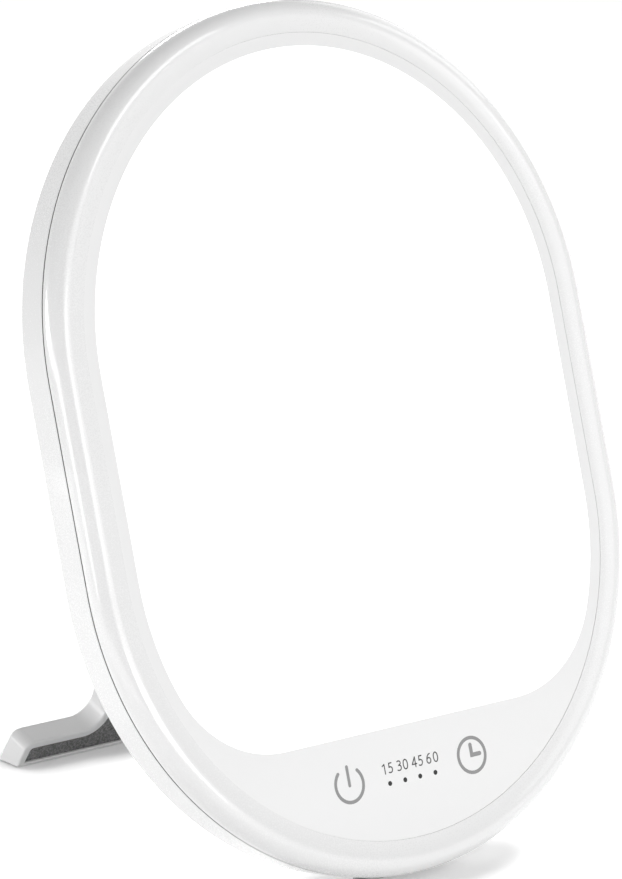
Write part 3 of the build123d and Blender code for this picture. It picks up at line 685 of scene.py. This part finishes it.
def windowOutline(s, height):
    straight, steps = headSizes["straight"], headSizes["arcSteps"]
    toCorner = math.atan2(s["cornerY"] + straight, s["cornerX"])
    arcs = [(0, straight, s["windowRadius"], 0, math.pi),
            (0, -straight, s["windowRadius"], math.pi, math.pi - toCorner),
            (-s["cornerX"], s["cornerY"], s["cornerRadius"], math.pi - toCorner, 1.5 * math.pi),
            (s["cornerX"], s["cornerY"], s["cornerRadius"], -0.5 * math.pi, toCorner),
            (0, -straight, s["windowRadius"], toCorner, 0)]
    points = []
    for x, y, radius, start, end in arcs:
        count = max(8, round(steps * abs(end - start) / math.pi))
        for k in range(count + 1):
            turn = start + (end - start) * k / count
            point = (x + radius * math.cos(turn), y + radius * math.sin(turn), height)
            if not points or math.dist(points[-1], point) > 0.01:
                points.append(point)
    return points


def panelSheet(s):
    wide, back = headSizes["panelRadius"] - s["play"], -headSizes["panelThick"]
    corners = [(wide - s["land"], 0, 0), (wide, 0, s["edge"]), (wide, back, s["edge"]),
               (wide - s["land"], back, 0)]
    skin = Skin()
    rings = skin.loops([oval(p.x, p.y) for p in roundCorners(corners, 4)])
    window = [skin.mesh.verts.new(p) for p in windowOutline(s, 0)]
    skin.fill(rings[0], [window])
    skin.fill(window, slot=1)
    skin.fill(rings[-1])
    return skin.done("facePanel")


settle(panelSheet(panelSettings), headPlace, "head", ["face_panel"],
       ["printedBorder", "litWindow"])
print("face panel made")


# Printed marks: power and clock keys, dots and minutes.

markSettings = {"powerX": -22.97, "clockX": 23.15, "keyY": -97.6, "ring": 5.05, "stroke": 1.02,
                "gap": 44.0, "powerBar": (5.15, -0.25), "hand": 3.6, "handStroke": 1.25,
                "low": 0.004, "high": 0.02, "dotX": (-8.4, -2.7, 2.95, 8.7), "dotY": -100.0,
                "dot": 0.72, "digitY": -97.05, "digitHeight": 2.85, "digitStroke": 0.36,
                "layer": 0.002}
numbers = {                                # where each starts and ends across
    "15": (-10.2, -6.65), "30": (-4.7, -0.9), "45": (0.8, 4.65), "60": (6.35, 10.5)}
digitLines = {                             # centre lines in a box one unit high
    "0": [[(0.56, 0.5), (0.48, 0.85), (0.29, 0.98), (0.1, 0.85), (0.02, 0.5), (0.1, 0.15),
           (0.29, 0.02), (0.48, 0.15), (0.56, 0.5)]],
    "1": [[(0.0, 0.8), (0.27, 0.97)], [(0.27, 0.98), (0.27, 0.0)]],
    "3": [[(0.03, 0.93), (0.2, 0.98), (0.4, 0.9), (0.41, 0.67), (0.17, 0.54)],
          [(0.17, 0.54), (0.4, 0.48), (0.48, 0.26), (0.36, 0.06), (0.18, 0.02), (0.0, 0.07)]],
    "4": [[(0.42, 0.98), (0.0, 0.28)], [(0.0, 0.28), (0.6, 0.28)], [(0.43, 0.98), (0.43, 0.0)]],
    "5": [[(0.42, 0.98), (0.1, 0.98)], [(0.1, 0.98), (0.07, 0.56)],
          [(0.07, 0.56), (0.24, 0.6), (0.42, 0.5), (0.46, 0.28), (0.34, 0.07), (0.16, 0.02),
           (0.0, 0.07)]],
    "6": [[(0.47, 0.97), (0.26, 0.88), (0.08, 0.62), (0.02, 0.3)],
          [(0.52, 0.3), (0.45, 0.5), (0.27, 0.58), (0.09, 0.5), (0.02, 0.3), (0.09, 0.1),
           (0.27, 0.02), (0.45, 0.1), (0.52, 0.3)]]}


def smoothLine(points, steps=6):           # a spline through the points
    points = [Vector(p) for p in points]
    if len(points) < 3:
        return points
    closed = points[0] == points[-1]
    reach = [points[-2], *points, points[1]] if closed else [points[0], *points, points[-1]]
    line = []
    for a, b, c, d in zip(reach, reach[1:], reach[2:], reach[3:]):
        for k in range(steps):
            t = k / steps
            line.append((2 * b + t * (c - a) + t * t * (2 * a - 5 * b + 4 * c - d)
                         + t ** 3 * (3 * b - a - 3 * c + d)) / 2)
    return line + [points[-1]]


def strokeSides(line, width):              # both edges of a stroke along a line of points
    closed, left, right = line[0] == line[-1], [], []
    for i, point in enumerate(line):
        ahead = line[i + 1] if i + 1 < len(line) else line[1] if closed else point
        behind = line[i - 1] if i else line[-2] if closed else point
        run = (ahead - behind).normalized()
        side = Vector((-run.y, run.x)) * width / 2
        left.append(point + side)
        right.append(point - side)
    return left, right


def strokeOutline(line, width):            # with a round cap at each end
    left, right = strokeSides(line, width)

    def cap(middle, start):
        return [middle + Matrix.Rotation(-math.pi * k / 8, 2) @ (start - middle)
                for k in range(1, 8)]
    return left + cap(line[-1], left[-1]) + right[::-1] + cap(line[0], right[0])


def printed(skin, outlines, s, lift=0.0):  # thin raised print; later outlines are holes
    heights = (s["low"], s["high"] + lift)
    made = [skin.loops([[(x, y, z) for x, y in outline] for z in heights])
            for outline in outlines]
    for level in (0, 1):
        skin.fill(made[0][level], [m[level] for m in made[1:]])


def around(x, y, radius, start, end, steps=48):
    turns = [math.radians(start + (end - start) * k / steps) for k in range(steps + 1)]
    return [Vector((x + radius * math.sin(t), y + radius * math.cos(t))) for t in turns]


def keyMarks(s):
    skin = Skin()
    x, y, ring, stroke = s["powerX"], s["keyY"], s["ring"], s["stroke"]
    printed(skin, [strokeOutline(around(x, y, ring, s["gap"], 360 - s["gap"]), stroke)], s)
    bar = [Vector((x, y + end)) for end in s["powerBar"]]
    printed(skin, [strokeOutline(bar, stroke)], s)
    x = s["clockX"]
    printed(skin, [around(x, y, ring + side * stroke / 2, 0, 360)[:-1] for side in (1, -1)], s)
    half, hand = s["handStroke"] / 2, s["hand"]
    hands = [(-half, -half, 0.1), (hand, -half, half), (hand, half, half), (half, half, 0),
             (half, hand, half), (-half, hand, half)]
    hands = [(x + a, y + b, r * 0.98) for a, b, r in hands]
    printed(skin, [[tuple(p) for p in roundCorners(hands, 6)]], s)
    return skin.done("keyMarks")


def dotMarks(s):
    skin = Skin()
    for x in s["dotX"]:
        printed(skin, [[p[:2] for p in circle(x, s["dotY"], s["dot"], 0, 20)]], s)
    return skin.done("dotMarks")


def numberMarks(s):
    skin, tall = Skin(), s["digitHeight"]
    for number, (start, end) in numbers.items():
        last = max(p[0] for line in digitLines[number[1]] for p in line)
        for digit, left in zip(number, (start, end - last * tall)):
            for layer, line in enumerate(digitLines[digit]):
                line = [Vector((left, s["digitY"])) + tall * p for p in smoothLine(line)]
                if line[0] == line[-1]:
                    outlines = [side[:-1] for side in strokeSides(line, s["digitStroke"])]
                    outlines.sort(key=lambda side: -max(p.x for p in side))
                else:
                    outlines = [strokeOutline(line, s["digitStroke"])]
                printed(skin, outlines, s, s["layer"] * layer)
    return skin.done("numberMarks")


for made, ink in ((keyMarks(markSettings), "greyInk"), (dotMarks(markSettings), "blackInk"),
                  (numberMarks(markSettings), "thinInk")):
    settle(made, headPlace, "head", (), [ink])
print("printed marks made")


# Leg, drawn with y = 0 on the hinge and z out of its front.

legSettings = {"thick": 9.0, "neck": 22.0, "heel": 2.5, "length": 186.93, "footWidth": 81.6,
               "footHeight": 8.2, "draft": 13.0, "footCorner": 3.8, "neckFillet": 6.5,
               "frontRound": 0.65, "backEdge": 1.2, "rim": 2.4, "rimBottom": 0.75,
               "rimEdge": 0.4, "insertSink": 0.5, "insertThick": 1.5, "seat": 1.6,
               "pocketDeep": 6.6, "pocketTop": -13.0, "pinBore": 1.55, "ribs": 6,
               "ribThick": 1.4, "ribLap": 0.5, "ribPlay": 0.05, "backSoft": 0.05, "tipEdge": 0.25,
               "insertPlay": 0.15, "insertEdge": 0.25}


def legOutline(s, inset, height, low, high):
    neck, shoulder = s["neck"] / 2 - inset, s["footHeight"] - s["length"] - inset
    slope, edge = math.tan(math.radians(s["draft"])), s["tipEdge"]

    def side(y):
        return s["footWidth"] / 2 - inset - (y + s["length"]) * slope
    right = [(neck, high, edge), (neck, shoulder, s["neckFillet"] + inset),
             (side(shoulder), shoulder, max(s["footCorner"] - inset, 0.3)), (side(low), low, edge)]
    left = [(-x, y, r) for x, y, r in reversed(right)]
    return [(p.x, p.y, height) for p in roundCorners(right + left, 12)]


def legFloor(s, height):                   # the leg's end lies on the standing plane
    return -s["length"] + (height - s["thick"] / 2) * math.tan(legTilt)


def quarterRound(radius, steps):           # inset and drop along an edge, from side to face
    turns = [math.pi / 2 * k / steps for k in range(steps + 1)]
    return [(radius * (1 - math.cos(t)), radius * (1 - math.sin(t))) for t in turns]


def legBody(s):
    half, back, soft = s["thick"] / 2, s["backEdge"], s["backSoft"]
    step = half - s["insertSink"] - s["insertThick"]
    outer = [(back, -half), (back * 0.94, soft * 0.6 - half), (soft, back - soft * 0.6 - half),
             (0, back + soft - half)]
    outer += [(inset, half - drop) for inset, drop in quarterRound(s["frontRound"], 5)]
    loops = [legOutline(s, inset, z, legFloor(s, z), s["heel"]) for inset, z in outer]
    low, high = s["rimBottom"] - s["length"], s["pocketTop"]
    for drop, grow in quarterRound(s["rimEdge"], 3):
        loops.append(legOutline(s, s["rim"] - grow, half - drop, low - grow, high + grow))
    deep = s["rim"] + s["seat"]
    loops.append(legOutline(s, s["rim"], step, low, high))
    loops.append(legOutline(s, deep, step, low + s["seat"], high - s["seat"]))
    loops.append(legOutline(s, deep, half - s["pocketDeep"], low + s["seat"], high - s["seat"]))
    skin = Skin()
    skin.closed(loops)
    return skin.done("legBody")


def legCutters(s):                         # pin bore, and the pads' seats in the foot
    skin = Skin()
    turned = [circle(0, 0, s["pinBore"], x) for x in (-s["neck"], s["neck"])]
    skin.closed([[(z, x, y) for x, y, z in outline] for outline in turned])
    bore = skin.done("bore")
    seats = rubberPads("seats", padBoxes(padSettings["play"]), padSettings["seatEdge"])
    seats.data.transform(legPlace.inverted() @ floorPlace)
    return bore, seats


def padBoxes(play):                        # the two foot pads, on the floor
    low, high = (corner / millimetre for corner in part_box("foot_pads"))
    reach, wide = high.x, padSettings["footLong"]
    boxes = []
    for middle in (wide / 2 - reach, reach - wide / 2):
        boxes.append(((middle - wide / 2 - play, low.y - play, 0),
                      (middle + wide / 2 + play, high.y + play, high.z)))
    return boxes


def rubberPads(name, boxes, edge=padSettings["edge"]):
    skin = Skin()
    for low, high in boxes:
        middle = [(a + b) / 2 for a, b in zip(low, high)]
        skin.bar(middle, [b - a for a, b in zip(low, high)], edge)
    return skin.done(name)


def legTree():
    nodes, given = newTree("ribbedLeg", {
        "Bore": "Object", "Seats": "Object", "Rib Count": "Int", "First Rib": "Float",
        "Rib Pitch": "Float", "Rib Width": "Float", "Rib Thick": "Float", "Rib Low": "Float",
        "Rib High": "Float"})
    start = nodes.vector(Y=given["First Rib"], Z=(given["Rib Low"] + given["Rib High"]) * 0.5)
    step = nodes.vector(Y=given["Rib Pitch"])
    line = nodes.add("GeometryNodeMeshLine", {
        "Count": given["Rib Count"], "Start Location": start, "Offset": step}, mode="OFFSET")
    size = nodes.vector(X=given["Rib Width"], Y=given["Rib Thick"],
                        Z=given["Rib High"] - given["Rib Low"])
    rib = nodes.add("GeometryNodeMeshCube", {"Size": size})
    ribs = nodes.add("GeometryNodeRealizeInstances", {
        0: nodes.add("GeometryNodeInstanceOnPoints", {"Points": line, "Instance": rib})})
    ribbed = nodes.solid("UNION", {"Mesh 2": [given["Geometry"], ribs]})
    cutters = [nodes.shape(given[name]) for name in ("Bore", "Seats")]
    cut = nodes.solid("DIFFERENCE", {"Mesh 1": ribbed, "Mesh 2": cutters})
    return closeTree(nodes, cut, given)


s = legSettings
bore, seats = legCutters(s)
ribPitch = (s["pocketTop"] - (s["footHeight"] - s["length"])) / (s["ribs"] + 1)
values = {"Bore": bore, "Seats": seats, "Rib Count": s["ribs"],
          "First Rib": s["pocketTop"] - ribPitch, "Rib Pitch": -ribPitch,
          "Rib Width": s["neck"] - 2 * (s["rim"] + s["seat"] - s["ribLap"]),
          "Rib Thick": s["ribThick"], "Rib Low": s["thick"] / 2 - s["pocketDeep"] - s["ribLap"],
          "Rib High": s["thick"] / 2 - s["insertSink"] - s["insertThick"] - s["ribPlay"],
          "Material": finish["satinShell"]}
standLeg = runTree(legBody(s), legTree(), values, "standLeg")
settle(standLeg, legPlace, "stand", ["stand_leg"])


def legInsert(s):
    inset = s["rim"] + s["insertPlay"]
    low = s["rimBottom"] + s["insertPlay"] - s["length"]
    high = s["pocketTop"] - s["insertPlay"]
    top = s["thick"] / 2 - s["insertSink"]
    steps = [(0, top - s["insertThick"])]
    steps += [(shift, top - drop) for shift, drop in quarterRound(s["insertEdge"], 3)]
    skin = Skin()
    skin.closed([legOutline(s, inset + d, z, low + d, high - d) for d, z in steps])
    return skin.done("legInsert")


settle(legInsert(legSettings), legPlace, "stand", ["leg_insert"], ["insertGrain"])
print("leg made")


# Rubber pads.

settle(rubberPads("footPads", padBoxes(0)), floorPlace, "stand",
       ["foot_pads"], ["rubber"])
basePad = rubberPads("basePad", [[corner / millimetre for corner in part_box("base_pad")]])
settle(basePad, floorPlace, "head", ["base_pad"], ["paleRubber"])


# Screws, one mesh set on each point.

screwSettings = {"head": 2.2, "headTall": 1.5, "headFlat": 1.35, "shank": 1.2, "root": 0.98,
                 "pitch": 0.85, "tip": 0.35, "cone": 0.7, "lead": 0.25, "plain": 0.8, "recess": 1.15,
                 "recessWide": 0.3, "recessDeep": 1.0, "seed": 7}
screwSets = {                              # node: (spots, seat, length, head towards the back)
    "case_screws": (caseScrewSpots, rearSettings["seat"], 7.4, True),
    "bracket_screws": (bracketScrewSpots, -19.4, 5.4, True),
    "board_screws": (boardScrewSpots, -11.3, 4.2, False),
    "control_screws": (controlScrewSpots, -4.6, 7.4, False)}


def crossOutline(reach, wide, height):
    arms = []
    for k in range(4):
        turn = Matrix.Rotation(math.pi / 2 * k, 2)
        for x, y, r in ((reach, -wide, wide * 0.7), (reach, wide, wide * 0.7), (wide, wide, 0.08)):
            arms.append((*(turn @ Vector((x, y))), r))
    return [(p.x, p.y, height) for p in roundCorners(arms, 2)]


def panScrew(s, length):                   # seat at z = 0, head up
    skin = Skin()
    line = [(s["tip"], -length), (s["cone"], s["cone"] - length)]
    z = s["cone"] + s["lead"] - length
    while z < -s["plain"]:
        line += [(s["root"], z), (s["shank"], z + s["pitch"] * 0.35),
                 (s["shank"], z + s["pitch"] * 0.5), (s["root"], z + s["pitch"] * 0.85)]
        z += s["pitch"]
    line += [(s["root"], -s["lead"]), (s["shank"], 0.0)]
    tall, wide = s["headTall"], s["head"]
    line += [(p.x, p.y) for p in roundCorners([
        (s["shank"], 0, 0), (wide, 0, 0.12), (wide, tall * 0.62, 0.4), (wide * 0.72, tall, 0.5),
        (s["headFlat"], tall, 0)], 4)][1:]
    rings = skin.loops([circle(0, 0, r, z, 28) for r, z in line])
    skin.fill(rings[0])
    depth = s["recessDeep"]
    cross = skin.loops([crossOutline(s["recess"] * k, s["recessWide"] * k, z) for k, z in (
        (1.0, tall), (0.93, tall - 0.08), (0.5, tall - depth))])
    skin.fill(rings[-1], [cross[0]])
    skin.fill(cross[-1])
    return skin.done("screw")


def screwTree():
    nodes, given = newTree("screwSet", {"Screw": "Object", "Flip": "Float", "Seed": "Int"})
    spin = nodes.add("FunctionNodeRandomValue", {
        2: 0.0, 3: 2 * math.pi, "Seed": given["Seed"]}, 1, data_type="FLOAT")
    placed = nodes.add("GeometryNodeInstanceOnPoints", {
        "Points": given["Geometry"], "Instance": nodes.shape(given["Screw"]),
        "Rotation": nodes.vector(X=given["Flip"], Z=spin)})
    return closeTree(nodes, placed, given)


tree = screwTree()
for node, (spots, seat, length, backwards) in screwSets.items():
    points = bpy.data.meshes.new("spots")
    points.from_pydata([(x, y, seat) for x, y in spots], [], [])
    values = {"Screw": panScrew(screwSettings, length), "Flip": math.pi if backwards else 0.0,
              "Seed": screwSettings["seed"], "Material": finish["zincSteel"]}
    made = runTree(newObject("spots", points), tree, values, node.split("_")[0] + "Screws")
    settle(made, headPlace, "head", [node])
print("screws made")


# Hinge bracket and socket: the moulded shapes with their edges softened.

softSettings = {"weld": 1e-7, "flat": 0.5, "sharp": 38, "segments": 3}
softPieces = {                             # node: name, width of the soft edge, slot, finish
    "hinge_bracket": ("hingeBracket", 0.0002, "white_shell", "whiteShell"),
    "dc_socket": ("dcSocket", 0.00012, "black_socket", "blackSocket")}


def softened(s, node, name, width):
    mesh = bmesh.new()
    mesh.from_mesh(frame["nodes"][node].data)
    bmesh.ops.remove_doubles(mesh, verts=mesh.verts, dist=s["weld"])
    bmesh.ops.dissolve_limit(mesh, angle_limit=math.radians(s["flat"]), verts=mesh.verts,
                             edges=mesh.edges, delimit={"NORMAL"})
    data = bpy.data.meshes.new(name)
    mesh.to_mesh(data)
    mesh.free()
    data.materials.clear()
    made = newObject(name, data)
    bevel = made.modifiers.new("softEdges", "BEVEL")
    bevel.width, bevel.segments, bevel.limit_method = width, s["segments"], "ANGLE"
    bevel.angle_limit, bevel.use_clamp_overlap = math.radians(s["sharp"]), True
    return plainMesh(made, name)


for node, (name, width, slotName, look) in softPieces.items():
    made = softened(softSettings, node, name, width)
    settle(made, Matrix.Identity(4), "head", [node], [look])

carried = {
    "panel_tape": "tapeFoam", "diffuser_sheet": "opalDiffuser", "light_box": "whiteInner",
    "reflector_sheet": "whiteFilm", "leds": "ledResin", "led_board": "boardAluminium",
    "control_board": "boardGreen", "board_components": "blackComponent",
    "lamp_leads": "leadSleeve", "touch_pads": "padRubber", "indicator_guide": "blackGuide",
    "indicator_leds": "ledResin", "socket_pin": "platedPin", "hinge_pin": "steelPin",
    "friction_washers": "washerNylon"}
for node, name in carried.items():
    for slot in frame["nodes"][node].material_slots:
        slot.material = finish[name]
print("carried-over parts finished")


# Floor, light and camera.

# contact, contactOpen and contactDark shape the painted contact shadow on the floor.
stageSettings = {"floorSize": 12.0, "floorGrey": 0.9, "floorGlow": 0.78, "worldLight": 0.26,
                 "fadeStart": 0.35, "fadeEnd": 1.2, "contact": 0.014, "contactOpen": 0.62,
                 "contactDark": 0.2, "aim": (0, 0.03, 0.12)}
lamps = {                                  # name: azimuth, elevation, distance, size, power
    "keyLamp": (10, 22, 2.0, (1.6, 1.5), 8.1),
    "keyCore": (0, 25, 2.0, (0.7, 0.5), 2.7),
    "lowKeyLamp": (5, 3, 2.0, (1.0, 0.5), 9.9),
    "topLamp": (30, 42, 2.0, (0.7, 0.5), 3.6),
    "rightLamp": (108, 17, 2.0, (1.25, 1.5), 4.7),
    "rightTopLamp": (72, 30, 2.0, (0.7, 0.5), 2.1),
    "rightRearLamp": (150, 20, 2.0, (0.7, 0.5), 6.0),
    "leftLamp": (-90, 4, 2.0, (1.0, 0.4), 4.6),
    "leftRearLamp": (-120, 4, 2.0, (1.0, 0.4), 12.2)}
bounceLamps = {                            # lying on the floor: place, size, power
    "leftBounce": ((-0.55, -0.1, 0.003), (0.6, 0.9), 1.25),
    "nearBounce": ((-0.28, 0.03, 0.003), (0.34, 0.45), 0.1),
    "frontBounce": ((0.1, -0.16, 0.003), (0.36, 0.2), 0.09)}


def whiteRays(nodes):                      # rays that are to see a white surrounding
    path = nodes.add("ShaderNodeLightPath")
    mirrored = nodes.math("MAXIMUM", path["Is Glossy Ray"], path["Is Transmission Ray"])
    return nodes.math("MAXIMUM", path["Is Camera Ray"], mirrored)


def floorMaterial(s):                      # white except where a shadow falls, with a painted contact shadow close to the object
    material, nodes = newMaterial("paleFloor")
    matt = nodes.add("ShaderNodeBsdfDiffuse", {"Color": grey(s["floorGrey"])})
    # Painted shadow: ambient occlusion dims the floor's glow where the object stands close.
    clear = nodes.add("ShaderNodeAmbientOcclusion", {"Distance": s["contact"]})["AO"]
    glow = nodes.mix(nodes.spread(clear, s["contactDark"], 1, s["contactOpen"], 1), grey(0), grey(1))
    light = nodes.add("ShaderNodeEmission", {"Color": glow, "Strength": s["floorGlow"]})
    lit = nodes.add("ShaderNodeAddShader", {0: matt, 1: light})
    white = nodes.add("ShaderNodeEmission", {"Color": grey(1)})
    away = nodes.add("ShaderNodeVectorMath", {0: nodes.here()}, "Value", operation="LENGTH")
    fade = nodes.spread(away, 0, 1, s["fadeStart"], s["fadeEnd"])
    pale = nodes.add("ShaderNodeMixShader", {0: fade, 1: lit, 2: white})
    both = nodes.add("ShaderNodeMixShader", {0: whiteRays(nodes), 1: matt, 2: pale})
    nodes.add("ShaderNodeOutputMaterial", {"Surface": both})
    return material


def studio(s):
    half = s["floorSize"] / 2
    mesh = bpy.data.meshes.new("floor")
    mesh.from_pydata([(-half, -half, 0), (half, -half, 0), (half, half, 0), (-half, half, 0)],
                     [], [(0, 1, 2, 3)])
    mesh.materials.append(floorMaterial(s))
    newObject("floor", mesh)
    world = bpy.data.worlds.new("studio")
    bpy.context.scene.world = world
    world.use_nodes = True
    nodes = Nodes(world.node_tree)
    strength = whiteRays(nodes) * (1 - s["worldLight"]) + s["worldLight"]
    sky = nodes.add("ShaderNodeBackground", {"Color": grey(1), "Strength": strength})
    nodes.add("ShaderNodeOutputWorld", {"Surface": sky})


def areaLamp(name, size, power, place):
    data = bpy.data.lights.new(name, "AREA")
    data.shape, data.size, data.size_y, data.energy = "RECTANGLE", size[0], size[1], power
    newObject(name, data).matrix_world = place


def softbox(name, azimuth, elevation, distance, size, power):
    side, rise = math.radians(azimuth), math.radians(elevation)
    away = Vector((math.sin(side) * math.cos(rise), -math.cos(side) * math.cos(rise),
                   math.sin(rise)))
    turn = away.to_track_quat("Z", "Y").to_matrix().to_4x4()
    spot = Vector(stageSettings["aim"]) + distance * away
    areaLamp(name, size, power, Matrix.Translation(spot) @ turn)


cameraSettings = {"lens": 237.56, "sensor": 36.0, "near": 0.05, "far": 50.0,
                  "right": (0.7703, -0.6359, 0.0471), "back": (-0.6195, -0.7289, 0.2913),
                  "place": (-1.0389, -1.1753, 0.6070)}


def camera(s):
    data = bpy.data.cameras.new("view")
    data.lens, data.sensor_width, data.sensor_fit = s["lens"], s["sensor"], "AUTO"
    data.clip_start, data.clip_end = s["near"], s["far"]
    right, back = (Vector(s[axis]).normalized() for axis in ("right", "back"))
    up = back.cross(right).normalized()
    turn = Matrix((up.cross(back), up, back)).transposed()
    view = newObject("view", data)
    view.matrix_world = Matrix.Translation(s["place"]) @ turn.to_4x4()
    bpy.context.scene.camera = view


studio(stageSettings)
for name, lamp in lamps.items():
    softbox(name, *lamp)
for name, (spot, size, power) in bounceLamps.items():
    areaLamp(name, size, power, Matrix.Translation(spot) @ Matrix.Rotation(math.pi, 4, "X"))
camera(cameraSettings)
bpy.context.scene.view_settings.view_transform = "Standard"
print("studio set")
